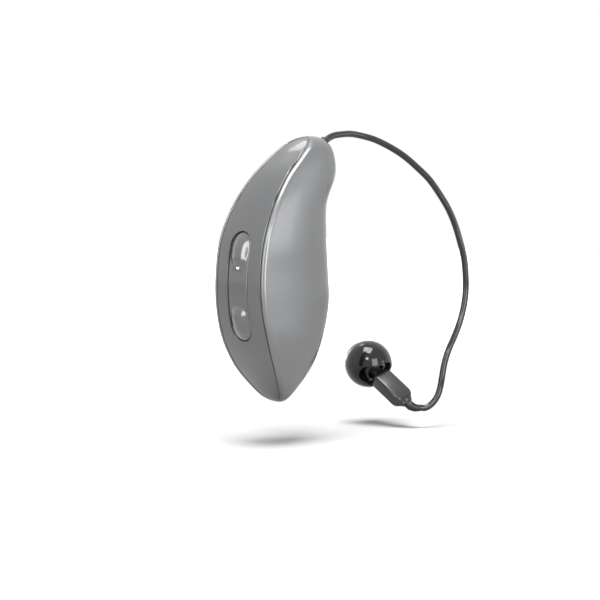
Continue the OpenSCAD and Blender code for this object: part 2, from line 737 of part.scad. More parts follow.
// Receiver: a moulded case along +Z of its own frame, the spout at its end
case_r = 0.4;
case_wall = 0.25;
neck_l = 0.8;
spout_d = 1.6;
spout_bore = 0.9;
spout_l = 2.6;
spout_at = [0.3, 0.1];
barb_d = 2;
barb_l = 0.9;
module rounded_bar(w, h, r, l) {
  linear_extrude(l) {
    square([w - 2 * r, h], center = true);
    square([w, h - 2 * r], center = true);
    for (x = [-1, 1]) for (y = [-1, 1])
      translate([x * (w / 2 - r), y * (h / 2 - r)]) circle(r = r);
  }
}
module receiver_case() {
  color([0.22, 0.22, 0.23]) at_receiver() difference() {
    rounded_bar(receiver_w, receiver_h, case_r, receiver_l);
    translate([0, 0, case_wall]) rounded_bar(receiver_w - 2 * case_wall,
      receiver_h - 2 * case_wall, case_r - case_wall / 2,
      receiver_l - 2 * case_wall);
    translate([spout_at[0], spout_at[1], receiver_l - case_wall - overrun])
      cylinder(d = spout_bore, h = overrun + 2 * case_wall);
  }
}
module receiver_motor() {
  color([0.75, 0.76, 0.77]) at_receiver()
    translate([0, 0, case_wall + rest_gap]) rounded_bar(
      receiver_w - 2 * case_wall - 2 * rest_gap,
      receiver_h - 2 * case_wall - 2 * rest_gap, case_r / 2,
      receiver_l - 2 * case_wall - 2 * rest_gap);
}
module at_spout() {
  at_receiver() translate([spout_at[0], spout_at[1], receiver_l]) children();
}
module sound_spout() {
  color([0.2, 0.2, 0.21]) at_spout() difference() {
    union() {
      cylinder(d = spout_d, h = spout_l);
      translate([0, 0, spout_l - barb_l]) cylinder(d1 = barb_d, d2 = spout_d,
        h = barb_l);
    }
    translate([0, 0, -overrun]) cylinder(d = spout_bore,
      h = spout_l + 2 * overrun);
  }
}
guard_l = 0.9;
guard_rim_t = 0.2;
module wax_guard() {
  color([0.93, 0.93, 0.92]) at_spout() difference() {
    union() {
      translate([0, 0, spout_l - guard_l]) cylinder(d = spout_bore
        - 2 * running_gap, h = guard_l);
      translate([0, 0, spout_l + running_gap]) cylinder(d = spout_d,
        h = guard_rim_t);
      translate([0, 0, spout_l - fine]) cylinder(d = spout_bore / 2,
        h = guard_rim_t);
    }
    for (a = [0:90:270]) rotate([0, 0, a]) translate([spout_bore / 4, 0,
      spout_l - guard_l - overrun])
      cylinder(d = spout_bore / 4, h = guard_l + 3 * overrun);
  }
}

// Ear dome: a soft shell round the spout, with four windows behind its waist
dome_mid = 2;
dome_sleeve_d = 2.9;
dome_sleeve_z = 0.4;
dome_back_angle = -48;
dome_front_angle = 72;
window_l = 2.2;
window_w = 1.3;
window_z = 1.1;
window_turn = 45;
module dome_windows() {
  for (a = [0:90:270]) rotate([0, 0, window_turn + a])
    translate([0, 0, window_z]) rotate([90, 0, 0])
      obround_x(window_w, window_l, dome_sleeve_d / 2 + dome_wall, dome_d);
}
module ear_dome() {
  r = dome_d / 2;
  q = r - dome_wall;
  bore = barb_d + 2 * running_gap;
  color([0.2, 0.2, 0.21]) at_spout() {
    difference() {
      rotate_extrude() polygon(concat(
        [for (a = [dome_back_angle:8:dome_front_angle])
          [r * cos(a), dome_mid + r * sin(a)]],
        [for (a = [dome_front_angle:-8:dome_back_angle])
          [q * cos(a), dome_mid + q * sin(a)]]));
      dome_windows();
    }
    rotate_extrude() polygon([[bore / 2, dome_sleeve_z],
      [dome_sleeve_d / 2, dome_sleeve_z], [dome_sleeve_d / 2, dome_mid + q],
      [bore / 2, dome_mid + q]]);
  }
}

spine_cover();
outer_shell();
inner_shell();
button_seal();
rocker_button();
indicator_lens();
rocker_pin();
button_frame();
upper_push_pin();
lower_push_pin();
pin_seals();
upper_switch();
lower_switch();
circuit_board();
signal_processor();
radio_chip();
indicator_led();
chassis();
battery_cell();
battery_tabs();
contact_block();
charging_contacts();
front_microphone();
rear_microphone();
microphone_screens();
antenna_strip();
telecoil();
housing_pins();
side_marker();
cable_plug();
socket_contacts();
retaining_pin();
receiver_wire();
wire_boot();
receiver_case();
receiver_motor();
sound_spout();
wax_guard();
ear_dome();
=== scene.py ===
"""Looks of a receiver-in-canal hearing aid, in metres and in the frame of its solids."""

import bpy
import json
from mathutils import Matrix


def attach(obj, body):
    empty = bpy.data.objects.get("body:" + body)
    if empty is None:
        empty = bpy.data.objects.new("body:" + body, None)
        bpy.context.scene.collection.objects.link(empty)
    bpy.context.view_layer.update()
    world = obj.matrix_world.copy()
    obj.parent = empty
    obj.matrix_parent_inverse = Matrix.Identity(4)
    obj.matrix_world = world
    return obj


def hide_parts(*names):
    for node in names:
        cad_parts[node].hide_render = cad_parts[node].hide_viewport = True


bl_info = {
    "name": "Hearing Aid Looks",
    "version": (1, 0, 0),
    "blender": (4, 5, 0),
    "location": "3D View > Sidebar > Hearing Aid",
    "description": "Dresses the solids of a behind-the-ear hearing aid and lights them",
    "category": "Object",
}

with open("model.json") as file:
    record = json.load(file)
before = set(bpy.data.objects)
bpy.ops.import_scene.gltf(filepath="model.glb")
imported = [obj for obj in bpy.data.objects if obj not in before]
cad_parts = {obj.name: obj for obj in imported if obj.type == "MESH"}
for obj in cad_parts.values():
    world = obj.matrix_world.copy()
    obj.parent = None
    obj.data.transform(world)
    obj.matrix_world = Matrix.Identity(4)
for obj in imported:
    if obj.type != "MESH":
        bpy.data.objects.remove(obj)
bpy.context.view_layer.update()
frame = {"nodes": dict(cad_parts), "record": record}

import json
import math

import bmesh
import bpy
from mathutils import Matrix, Vector

MM = 0.001

# Outline of the housing at equal steps of the station angle, from the top tip
# to the bottom tip: places as shares of its depth, widths of its half width
SPINE_SHARES = (-0.124, -0.237, -0.405, -0.627, -0.818, -0.951, -1, -0.99,
                -0.921, -0.812, -0.688, -0.595, -0.511)
FRONT_SHARES = (-0.124, 0, 0.093, 0.113, -0.01, -0.02, 0, 0.01, -0.072,
                -0.196, -0.361, -0.454, -0.511)
WIDTH_SHARES = (0, 0.38, 0.58, 0.72, 0.86, 0.95, 0.97, 0.995, 1, 0.87, 0.61,
                0.33, 0)
# How far the spine is crowned for its half width, and how the sides bulge: over
# what share of the way to the seam, and by what share of the half width
CROWN_SHARE, BULGE_RUN_SHARE, BULGE_SHARE = 0.09, 0.45, 0.04
# Station angles of the tips and of the ends of the cover, in degrees, and over
# how many degrees those ends are rounded
TIP_U, COVER_U, COVER_ROUND_U = 1.5, 6, 12
# From what depth of the housing on its walls have their full thickness, and how
# far each shell stays from the middle
FULL_DEPTH, SEAM = 5 * MM, 0.03 * MM
# Stations of the microphone inlets in the edge of the cover
INLET_U = (38, 56)

# Route of the receiver wire and of its boot, as in the solids, in millimetres
WIRE_ROUTE = (
    (0.8, 0, 15), (1.6, 0, 15.37), (2.4, 0, 15.6), (3.6, -0.1, 15.7),
    (5.1, -0.2, 15.7), (6.8, -0.4, 15.4), (8.6, -0.8, 14.9), (10.6, -1.3, 14),
    (12.6, -1.9, 12.8), (14.4, -2.5, 11.3), (15.9, -3.1, 9.8), (17.2, -3.6, 8),
    (18.3, -4.1, 6.1), (19.2, -4.4, 4.1), (19.8, -4.7, 2), (20.3, -4.9, 0),
    (20.5, -5, -2.2), (20.5, -5, -4.3), (20.1, -5, -6.2), (19.4, -5, -8),
    (18.4, -5, -9.7), (17.4, -5, -11.2), (16.8, -4.9, -12.8),
    (16.4, -4.9, -14.4), (16.2, -4.8, -15.6), (15.8, -4.7, -16.7),
    (15.2, -4.4, -17.6), (14.5, -4, -18.1), (13.9, -3.6, -18.1))
BOOT_ROUTE = (
    (13.9, -3.6, -18.1), (13.45, -3.3, -18.1), (13.1, -3, -17.95),
    (12.87, -2.67, -17.7), (12.77, -2.3, -17.39), (12.7, -1.9, -17.1))
RECEIVER_AT = Vector((12.7, -1.9, -17.1)) * MM


def linear(hex_colour):
    """An sRGB hex colour as linear red, green, blue and alpha."""
    parts = [int(hex_colour[i:i + 2], 16) / 255 for i in (1, 3, 5)]
    return tuple(c / 12.92 if c <= 0.04045 else ((c + 0.055) / 1.055) ** 2.4
                 for c in parts) + (1.0,)


def length(name, text, millimetres):
    """A length in the panel, given in millimetres."""
    return bpy.props.FloatProperty(name=name, description=text,
                                   default=millimetres * MM, unit="LENGTH",
                                   subtype="DISTANCE", precision=5)


def colour(name, text, hex_colour):
    """A colour in the panel, given as sRGB hex."""
    return bpy.props.FloatVectorProperty(name=name, description=text, size=4,
                                         default=linear(hex_colour), min=0,
                                         max=1, subtype="COLOR")


def degrees(name, text, value):
    """An angle in the panel, given in degrees."""
    return bpy.props.FloatProperty(name=name, description=text,
                                   default=math.radians(value), unit="ROTATION",
                                   subtype="ANGLE")


class AidHousingSizes(bpy.types.PropertyGroup):
    body_h: length("Height", "Height of the housing from tip to tip", 31.4)
    body_d: length("Depth", "Depth of the housing at mid height", 13.5)
    cover_w: length("Cover width", "Greatest width of the spine cover", 7.4)
    cover_t: length("Cover thickness", "Thickness of the spine cover", 0.65)
    wall: length("Wall", "Wall of the side shells", 0.7)
    cover_gap: length("Gap", "Gap between the cover and the side shells", 0.06)
    rim_r: length("Rim", "Rounding of the shell rims beside the cover", 0.6)
    lip_r: length("Lip", "Rounding of each shell towards the gap", 0.12)
    edge_r: length("Cover edge", "Rounding of the edge of the cover", 0.25)
    ledge_w: length("Ledge", "Width of the ledge under the cover", 0.5)
    ledge_t: length("Ledge thickness", "Thickness of that ledge", 0.4)


class AidButtonSizes(bpy.types.PropertyGroup):
    rocker_l: length("Rocker length", "Length of the rocker", 12.8)
    rocker_w: length("Rocker width", "Width of the rocker", 3.2)
    rocker_t: length("Rocker thickness", "Thickness of the rocker", 0.7)
    rocker_gap: length("Rocker gap", "Gap all round the rocker", 0.09)
    rocker_sink: length("Rocker depth", "How far it sits below the spine", 0.1)
    rocker_drop: length("Rocker drop", "Its middle below mid height", 1.5)
    bump_l: length("Bump length", "Length of each raised bump", 4.1)
    bump_w: length("Bump width", "Width of each raised bump", 2.9)
    bump_h: length("Bump height", "Height of each raised bump", 0.5)
    bump_z: length("Bump place", "Each bump's middle from the pivot", 4.25)
    groove_w: length("Groove width", "Width of the flat between bumps", 1.9)
    groove_t: length("Groove depth", "Depth of the flat between bumps", 0.04)
    groove_soft: length("Groove edge", "Width of the flat's soft edge", 0.5)


class AidReceiverSizes(bpy.types.PropertyGroup):
    wire_d: length("Wire", "Diameter of the receiver wire", 0.8)
    boot_d: length("Boot", "Diameter of the boot at the receiver", 1.15)
    case_l: length("Receiver length", "Length of the receiver", 4.7)
    case_w: length("Receiver width", "Width of the receiver", 2.6)
    case_h: length("Receiver height", "Height of the receiver", 1.8)
    dome_d: length("Dome", "Outer diameter of the dome", 5.8)
    dome_wall: length("Dome wall", "Wall of the dome", 0.3)
    dome_mid: length("Dome middle", "Middle of the dome before the case", 2.0)
    pitch: degrees("Pitch", "Upward tilt of the receiver", 36)
    yaw: degrees("Yaw", "Swing of the receiver towards the back", 10)
    roll: degrees("Roll", "Turn of the receiver about its length", -25)


class AidFinishes(bpy.types.PropertyGroup):
    shell: colour("Shell", "Silver lacquer of the side shells", "#7b7c7d")
    # The greys of the cover and the rocker are darker than the shell's: partly their own
    # tone, partly painted shade
    cover: colour("Cover", "Grey lacquer of the spine cover", "#666768")
    button: colour("Button", "Grey lacquer of the rocker", "#626364")
    graphite: colour("Graphite", "Moulded receiver", "#2b2b2d")
    silicone: colour("Silicone", "Smoke silicone of the dome", "#262628")
    wire: colour("Wire", "Jacket of the receiver wire", "#0d0d0e")
    backdrop: colour("Floor", "Pale floor and background", "#eaeaea")


def add_node(tree, kind, inputs=None, links=None, **settings):
    """Adds a node, sets its settings and inputs, and links outputs into it."""
    node = tree.nodes.new("ShaderNode" + kind)
    for name, value in settings.items():
        setattr(node, name, value)
    for name, value in (inputs or {}).items():
        node.inputs[name].default_value = value
    for name, source in (links or {}).items():
        tree.links.new(source, node.inputs[name])
    return node


def empty_tree(owner):
    """The node tree of a material or world, emptied."""
    owner.use_nodes = True
    owner.node_tree.nodes.clear()
    return owner.node_tree


# Octaves and unevenness of every finish's grain, and the strength of its relief
GRAIN_DETAIL, GRAIN_UNEVEN, RELIEF = 3.0, 0.6, 0.5
# Sockets of a Mix node that mixes colours: its factor, two colours and result
MIX_FACTOR, MIX_FIRST, MIX_SECOND, MIX_RESULT = 0, 6, 7, 2


def finish_material(name, base, grain_mm, colour_swing, rough, rough_swing,
                    bump_mm, sockets):
    """A moulded, lacquered or drawn finish: grain in colour, gloss and relief."""
    tree = empty_tree(bpy.data.materials.new(name))
    place = add_node(tree, "TexCoord")
    grain = add_node(tree, "TexNoise",
                     {"Scale": 1 / (grain_mm * MM), "Detail": GRAIN_DETAIL,
                      "Roughness": GRAIN_UNEVEN},
                     {"Vector": place.outputs["Object"]})
    dark = tuple(c * (1 - colour_swing) for c in base[:3]) + (1.0,)
    light = tuple(min(1, c * (1 + colour_swing)) for c in base[:3]) + (1.0,)
    tint = add_node(tree, "Mix", {MIX_FIRST: dark, MIX_SECOND: light},
                    {MIX_FACTOR: grain.outputs["Fac"]}, data_type="RGBA")
    gloss = add_node(tree, "MapRange",
                     {"To Min": rough - rough_swing, "To Max": rough + rough_swing},
                     {"Value": grain.outputs["Fac"]})
    relief = add_node(tree, "Bump",
                      {"Strength": RELIEF, "Distance": bump_mm * MM},
                      {"Height": grain.outputs["Fac"]})
    shader = add_node(tree, "BsdfPrincipled", sockets,
                      {"Base Color": tint.outputs[MIX_RESULT],
                       "Roughness": gloss.outputs["Result"],
                       "Normal": relief.outputs["Normal"]})
    add_node(tree, "OutputMaterial",
             links={"Surface": shader.outputs["BSDF"]})


# Every finish: a colour of the panel or an sRGB hex one, the size of its grain in
# millimetres, the share by which its colour swings, its roughness and how far
# that swings, the relief of the grain in millimetres, and what else is set
FINISHES = {
    # Silver lacquer on moulded polyamide: soft metallic sheen under clear coat.
    # Its flakes are drawn coarser than the real ones, which no pixel could show
    "silver_lacquer": (
        "shell", 0.12, 0.05, 0.34, 0.03, 0.0008,
        {"Metallic": 0.65, "Coat Weight": 0.5, "Coat Roughness": 0.12}),
    # The lacquer of the spine cover, in a darker grey: partly its own tone, partly
    # painted shade for the way the cover faces
    "grey_lacquer": (
        "cover", 0.12, 0.05, 0.3, 0.03, 0.0006,
        {"Metallic": 0.5, "Coat Weight": 0.6, "Coat Roughness": 0.08}),
    # Polished lacquer on the rocker, where fingers rub: sharper lights. Its darker grey,
    # as on the cover, is partly painted shade
    "button_lacquer": (
        "button", 0.12, 0.04, 0.16, 0.03, 0.001,
        {"Metallic": 0.4, "Coat Weight": 1.0, "Coat Roughness": 0.04}),
    # Polycarbonate light pipe, milky, with a faint white glow from emission: a painted
    # glow that makes it a small white dot
    "milky_polycarbonate": (
        "#f2f4f5", 0.2, 0.01, 0.2, 0.02, 0.001,
        {"IOR": 1.58, "Emission Color": linear("#ffffff"), "Emission Strength": 0.25}),
    # Extruded polyurethane jacket: near black with a clean long highlight
    "polyurethane_jacket": (
        "wire", 0.3, 0.2, 0.2, 0.04, 0.002,
        {"IOR": 1.5, "Coat Weight": 0.4, "Coat Roughness": 0.05}),
    # Moulded thermoplastic elastomer of the boot: black, a little softer
    "boot_elastomer": ("#161617", 0.15, 0.2, 0.38, 0.06, 0.004, {"IOR": 1.5}),
    # Polished moulded polyamide of the receiver: graphite with a long sheen
    "graphite_polyamide": (
        "graphite", 0.15, 0.12, 0.24, 0.04, 0.002,
        {"IOR": 1.53, "Coat Weight": 0.1, "Coat Roughness": 0.08}),
    # Liquid silicone rubber, smoke: see-through, wet-looking and thin
    "silicone_rubber": (
        "silicone", 0.8, 0.06, 0.1, 0.02, 0.001,
        {"IOR": 1.41, "Transmission Weight": 0.55, "Coat Weight": 0.25,
         "Coat Roughness": 0.04}),
    # Moulded black nylon, fine matt
    "matt_nylon": ("#1b1b1c", 0.08, 0.15, 0.5, 0.06, 0.004, {"IOR": 1.53}),
    # Gold plating on the contacts: warm, bright and smooth
    "gold_plate": ("#e2bb6a", 0.06, 0.05, 0.25, 0.05, 0.001, {"Metallic": 1.0}),
    # Drawn and nickel-plated steel: cool grey with a soft shine
    "nickel_steel": ("#c6c5c0", 0.05, 0.06, 0.3, 0.06, 0.001, {"Metallic": 1.0}),
    # Copper foil of coils and printed loops: warm and slightly dull
    "copper_foil": ("#c47f52", 0.08, 0.08, 0.35, 0.05, 0.001, {"Metallic": 1.0}),
    # Green solder resist over glass laminate: dark green with a low gloss
    "solder_resist": ("#1e5a34", 0.25, 0.12, 0.35, 0.05, 0.002, {"IOR": 1.5}),
    # Moulded epoxy of chip packages: matt black
    "chip_epoxy": ("#1c1c1e", 0.05, 0.15, 0.6, 0.05, 0.003, {"IOR": 1.55}),
    # Moulded natural acetal of push pins and wax guard: waxy off-white
    "white_acetal": ("#e6e5e0", 0.2, 0.02, 0.4, 0.04, 0.002, {"IOR": 1.48}),
    # Moulded ABS of the marker for the right ear: an even, glossy red
    "red_abs": ("#b4141c", 0.15, 0.05, 0.3, 0.04, 0.001, {"IOR": 1.53}),
}


def make_finishes(tones):
    """Makes every finish of the aid, under the name that its pieces ask for."""
    for name, (tone, *values) in FINISHES.items():
        base = linear(tone) if tone.startswith("#") else getattr(tones, tone)
        finish_material(name, base, *values)


FINISH_OF_SLOT = {
    "cover_grey": "grey_lacquer", "shell_silver": "silver_lacquer",
    "button_grey": "button_lacquer", "clear_lens": "milky_polycarbonate",
    "steel": "nickel_steel", "contact_steel": "nickel_steel",
    "cell_steel": "nickel_steel", "gold": "gold_plate",
    "copper": "copper_foil", "board_green": "solder_resist",
    "chip_black": "chip_epoxy", "black_plastic": "matt_nylon",
    "graphite_plastic": "graphite_polyamide", "white_plastic": "white_acetal",
    "black_rubber": "boot_elastomer", "wire_black": "polyurethane_jacket",
    "screen_grey": "matt_nylon", "marker_red": "red_abs",
    "smoke_silicone": "silicone_rubber",
}


# Edges that turn by more than this many degrees stay sharp: as a rule, on finely
# lofted pieces and on the receiver case
SHARP_ANGLE, LOFT_ANGLE, CASE_ANGLE = 40, 50, 35


def shade_smooth(mesh, sharp=None):
    """Shades a mesh smooth, but for edges past sharp degrees if that is given."""
    mesh.polygons.foreach_set("use_smooth", [True] * len(mesh.polygons))
    if sharp:
        mesh.set_sharp_from_angle(angle=math.radians(sharp))


def closed_mesh(name, rings, faces):
    """The mesh of a closed form, with all its faces turned outwards."""
    mesh = bpy.data.meshes.new(name)
    mesh.from_pydata([tuple(place) for ring in rings for place in ring], [], faces)
    mesh.validate()
    work = bmesh.new()
    work.from_mesh(mesh)
    bmesh.ops.recalc_face_normals(work, faces=work.faces)
    work.to_mesh(mesh)
    work.free()
    return mesh


def add_object(name, data):
    """A new object in the scene."""
    item = bpy.data.objects.new(name, data)
    bpy.context.scene.collection.objects.link(item)
    return item


def make_piece(name, rings, faces, finish, body, sharp=SHARP_ANGLE):
    """A closed piece from rings of places, riding on a body of the frame."""
    mesh = closed_mesh(name, rings, faces)
    piece = add_object(name, mesh)
    shade_smooth(mesh, sharp)
    mesh.materials.append(bpy.data.materials[finish])
    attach(piece, body)
    return piece


def loft_faces(rings, closed=False):
    """Quads between rings of places, and round to the first ring if closed."""
    faces, count = [], len(rings[0])
    for i in range(len(rings) if closed else len(rings) - 1):
        a, b = i * count, (i + 1) % len(rings) * count
        for k in range(count):
            n = (k + 1) % count
            faces.append((a + k, a + n, b + n, b + k))
    return faces


def tube_faces(rings):
    """The quads of a tube of rings, and one face that closes each end."""
    count = len(rings[0])
    last = (len(rings) - 1) * count
    return loft_faces(rings) + [
        tuple(range(count)), tuple(range(last + count - 1, last - 1, -1))]


def apply_modifiers(piece):
    """Replaces a piece's mesh by what its modifiers make of it."""
    bpy.context.view_layer.update()
    result = bpy.data.meshes.new_from_object(
        piece.evaluated_get(bpy.context.evaluated_depsgraph_get()))
    piece.modifiers.clear()
    piece.data = result


def cut(piece, cutters, solver="EXACT"):
    """Takes the cutters out of a piece, then deletes them."""
    for cutter in cutters:
        step = piece.modifiers.new("cut", "BOOLEAN")
        step.operation, step.solver, step.object = "DIFFERENCE", solver, cutter
    apply_modifiers(piece)
    for cutter in cutters:
        bpy.data.objects.remove(cutter)
    shade_smooth(piece.data, SHARP_ANGLE)


def obround_cutter(long, wide, low, high, place, steps=48):
    """A bar with round ends along local X, long in Z and wide in Y."""
    outline = []
    for k in range(steps):
        a = 2 * math.pi * k / steps
        z = wide / 2 * math.cos(a)
        z += (long - wide) / 2 if math.cos(a) >= 0 else (wide - long) / 2
        outline.append((wide / 2 * math.sin(a), z))
    rings = [[place @ Vector((x, y, z)) for y, z in outline] for x in (low, high)]
    return add_object("cutter", closed_mesh("cutter", rings, tube_faces(rings)))


def turn(angle, axis, at=(0, 0, 0)):
    """A turn by some degrees about an axis through a place."""
    return Matrix.Translation(at) @ Matrix.Rotation(math.radians(angle), 4, axis)


def through(before, start, end, after, share):
    """A value on a smooth curve from start to end, shaped by their neighbours."""
    bend = before - 2.5 * start + 2 * end - 0.5 * after
    return start + share * ((end - before) / 2 + share * (
        bend + share * (1.5 * (start - end) + 0.5 * (after - before))))


# Stands in for zero where a length is divided by
TINY = 1e-9


class Housing:
    """The outer form of the housing, by station angle from tip to tip."""

    def __init__(self, sizes):
        self.sizes = sizes
        self.step = 180 / (len(SPINE_SHARES) - 1)

    def curve(self, shares, angle):
        """A value between shares that stand at equal steps of the angle."""
        last = len(shares) - 1
        place = min(max(angle / self.step, 0), last)
        i = min(last - 1, int(place))
        start, end = shares[i], shares[i + 1]
        before = shares[i - 1] if i > 0 else 2 * start - end
        after = shares[i + 2] if i < last - 1 else 2 * end - start
        return through(before, start, end, after, place - i)

    def spine(self, angle):
        """Where the middle of the back is, before its crown."""
        return self.sizes.body_d * self.curve(SPINE_SHARES, angle)

    def front(self, angle):
        """Where the front seam is."""
        return self.sizes.body_d * self.curve(FRONT_SHARES, angle)

    def half(self, angle):
        """Half the width at the spine."""
        return self.sizes.cover_w / 2 * self.curve(WIDTH_SHARES, angle)

    def height(self, angle):
        return self.sizes.body_h / 2 * math.cos(math.radians(angle))

    def station(self, z):
        """The station angle at a height."""
        share = max(-1, min(1, 2 * z / self.sizes.body_h))
        return math.degrees(math.acos(share))

    def thin(self, angle):
        """How much of its full thickness a wall has: less towards the tips."""
        return min(1, (self.front(angle) - self.spine(angle)) / FULL_DEPTH)

    def layer(self, angle, depth):
        """The height of a surface that lies some depth under the outer one."""
        return self.height(angle) * (1 - 2 * depth / self.sizes.body_h)

    def opening(self, angle):
        """Half the width of the opening that the cover fills."""
        share = (min(angle, 180 - angle) - COVER_U) / COVER_ROUND_U
        share = min(1, max(0, share))
        return self.half(angle) * math.sqrt(1 - (1 - share) ** 2)

    def crown(self, angle, y):
        """The spine's place across its width: it is crowned in the middle."""
        half = max(self.half(angle), TINY)
        return (self.spine(angle)
                - CROWN_SHARE * half * (1 - min(1, abs(y) / half) ** 2))

    def side(self, share, rim_x, rim_y, seam_x):
        """A place on the bulged side, from the rim (0) to the front seam (1)."""
        rest = 1 - share
        x = (rest ** 3 * rim_x
             + 3 * share * rest * rest * (rim_x + BULGE_RUN_SHARE * (seam_x - rim_x))
             + (3 * share * share * rest + share ** 3) * seam_x)
        y = (rest ** 3 * rim_y + 3 * share * rest * rest * rim_y * (1 + BULGE_SHARE)
             + 3 * share * share * rest * rim_y + share ** 3 * SEAM)
        return x, y

    def side_place(self, angle, share):
        """A place on the outer side at a station."""
        rim = self.sizes.rim_r * self.thin(angle)
        return self.side(share, self.spine(angle) + rim,
                         self.half(angle) + self.sizes.cover_gap + rim,
                         self.front(angle))

    def front_tilt(self, angle):
        """How far the front seam leans at a station, in degrees."""
        above, below = angle - 1, angle + 1
        return math.degrees(math.atan2(self.front(above) - self.front(below),
                                       self.height(above) - self.height(below)))


def stations(count, end):
    """Station angles, closer together towards the two tips."""
    return [90 - (90 - end) * (math.cos(math.pi * i / count) + 1 - 2 * i / count) / 2
            for i in range(count + 1)]


# Side shells: how many rings, and how many steps over each stretch of a ring
SHELL_STEPS, LIP_STEPS, RIM_STEPS, SIDE_STEPS = 150, 4, 9, 34
# The lip's greatest share of the rim's width, and its depth for its width
LIP_SHARE, LIP_DEPTH = 0.35, 2
# Points of the ledge in a ring, and by how many degrees the tips' test is eased
LEDGE_POINTS, ANGLE_MARGIN = 3, 0.01


def quarter(steps, count):
    """The first count of the angles that divide a quarter turn into steps."""
    return [math.pi / 2 * k / steps for k in range(count)]


def shell_ring(form, angle, sign):
    """Outer skin from the gap to the front seam, and back along the inside."""
    sizes, thin = form.sizes, form.thin(angle)
    spine_x, seam_x = form.spine(angle), form.front(angle)
    gap_y = max(SEAM, form.opening(angle) + sizes.cover_gap)
    gap_x = form.crown(angle, gap_y)
    rim_x = spine_x + sizes.rim_r * thin
    rim_y = form.half(angle) + sizes.cover_gap + sizes.rim_r * thin
    lip = min(sizes.lip_r * thin, (rim_y - gap_y) * LIP_SHARE)
    z = form.height(angle)
    ring = [(gap_x + lip * LIP_DEPTH * (1 - math.sin(a)),
             gap_y + lip * (1 - math.cos(a)), z)
            for a in quarter(LIP_STEPS, LIP_STEPS)]
    ring += [(gap_x + (rim_x - gap_x) * (1 - math.cos(a)),
              gap_y + lip + (rim_y - gap_y - lip) * math.sin(a), z)
             for a in quarter(RIM_STEPS, RIM_STEPS + 1)]
    ring += [form.side(i / SIDE_STEPS, rim_x, rim_y, seam_x) + (z,)
             for i in range(1, SIDE_STEPS + 1)]
    count = len(ring)
    if min(angle, 180 - angle) < TIP_U + ANGLE_MARGIN:
        ring += [(seam_x + (gap_x - seam_x) * i / (count + 1), SEAM, z)
                 for i in range(1, count + 1)]
    else:
        inner_x = spine_x + (sizes.cover_t + sizes.ledge_t) * thin
        inner_y = rim_y - sizes.wall * thin
        inner_z = form.layer(angle, sizes.wall)
        steps = count - LEDGE_POINTS - 1
        ring += [form.side(i / steps, inner_x, inner_y,
                           seam_x - sizes.wall * thin) + (inner_z,)
                 for i in range(steps, -1, -1)]
        seat_x = spine_x + (sizes.cover_t + sizes.cover_gap) * thin
        seat_z = form.layer(angle, sizes.cover_t)
        ledge_y = max(SEAM / 2, gap_y - sizes.ledge_w)
        ring += [(inner_x, ledge_y, form.layer(angle, sizes.cover_t + sizes.ledge_t)),
                 (seat_x, ledge_y, seat_z), (seat_x, gap_y, seat_z)]
    return [(x, sign * y, z) for x, y, z in ring]


def shell_piece(form, name, sign):
    """One side shell, lofted from tip to tip, with both ends closed flat."""
    rings = [shell_ring(form, angle, sign)
             for angle in stations(SHELL_STEPS, TIP_U)]
    count = len(rings[0])
    faces = loft_faces(rings)
    for base in (0, (len(rings) - 1) * count):
        faces += [(base + k, base + k + 1, base + count - 2 - k,
                   base + count - 1 - k) for k in range(count // 2 - 1)]
    piece = make_piece(name + "_skin", rings, faces, "silver_lacquer", "housing",
                       LOFT_ANGLE)
    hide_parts(name)
    return piece


# What passes through the side shells, as in the solids: the plug's collar, the
# contact block, the pins, the side marker and the plug's retaining pin
PLUG_RISE = 25
COLLAR_D, COLLAR_DEEP = 1.15 * MM, 2.2 * MM
BLOCK_U = 124
BLOCK_L, BLOCK_W, BLOCK_T = 4.6 * MM, 2 * MM, 1.3 * MM
BLOCK_SINK = 0.15 * MM
PIN_D, PIN_START = 0.7 * MM, 0.1 * MM
PIN_Z = (9.2 * MM, -12.2 * MM)
PIN_SIDE = 0.4
MARKER_D, MARKER_T = 1.2 * MM, 0.4 * MM
MARKER_U, MARKER_SIDE = 62, 0.5
RETAINER_D, RETAINER_AT = 0.5 * MM, -3.2 * MM
REST_GAP = 0.04 * MM
# How far a cutter stands out of the shell, and a short step along its side
CUTTER_OUT, SIDE_STEP = 1 * MM, 0.01


def plug_frame():
    """Where the wire leaves the housing, local X pointing along the plug."""
    return turn(-PLUG_RISE, "Y", Vector(WIRE_ROUTE[0]) * MM)


def seat_cutter(long, wide, low, high, place):
    """A cutter that leaves the resting gap all round a piece of that section."""
    return obround_cutter(long + 2 * REST_GAP, wide + 2 * REST_GAP, low, high, place)


def shell_cutters(form, sign):
    """What the shells are cut by: collar, contact block, pins and marker."""
    deep = form.sizes.body_d
    block = (Matrix.Translation((form.front(BLOCK_U), 0, form.height(BLOCK_U)))
             @ turn(form.front_tilt(BLOCK_U), "Y")
             @ Matrix.Translation((-BLOCK_SINK, 0, 0)))
    cutters = [
        seat_cutter(COLLAR_D, COLLAR_D, -COLLAR_DEEP, CUTTER_OUT, plug_frame()),
        seat_cutter(BLOCK_L, BLOCK_W, -BLOCK_T - CUTTER_OUT, CUTTER_OUT, block)]
    if sign > 0:
        across = turn(90, "Z")
        for z in PIN_Z:
            x = form.side_place(form.station(z), PIN_SIDE)[0]
            cutters.append(seat_cutter(PIN_D, PIN_D, PIN_START, deep,
                                       Matrix.Translation((x, 0, z)) @ across))
        cutters.append(seat_cutter(
            RETAINER_D, RETAINER_D, PIN_START, deep,
            plug_frame() @ Matrix.Translation((RETAINER_AT, 0, 0)) @ across))
        x, y = form.side_place(MARKER_U, MARKER_SIDE)
        next_x, next_y = form.side_place(MARKER_U, MARKER_SIDE + SIDE_STEP)
        lean = math.degrees(math.atan2(next_y - y, next_x - x))
        cutters.append(seat_cutter(
            MARKER_D, MARKER_D, -MARKER_T, CUTTER_OUT,
            Matrix.Translation((x, y, form.height(MARKER_U)))
            @ turn(lean + 90, "Z")))
    return cutters


# Spine cover: points along each half of its edge, rings, and steps of its edges
COVER_HALF_POINTS, COVER_RINGS = 181, 26
COVER_EDGE_STEPS, HOLE_EDGE_STEPS = 6, 4
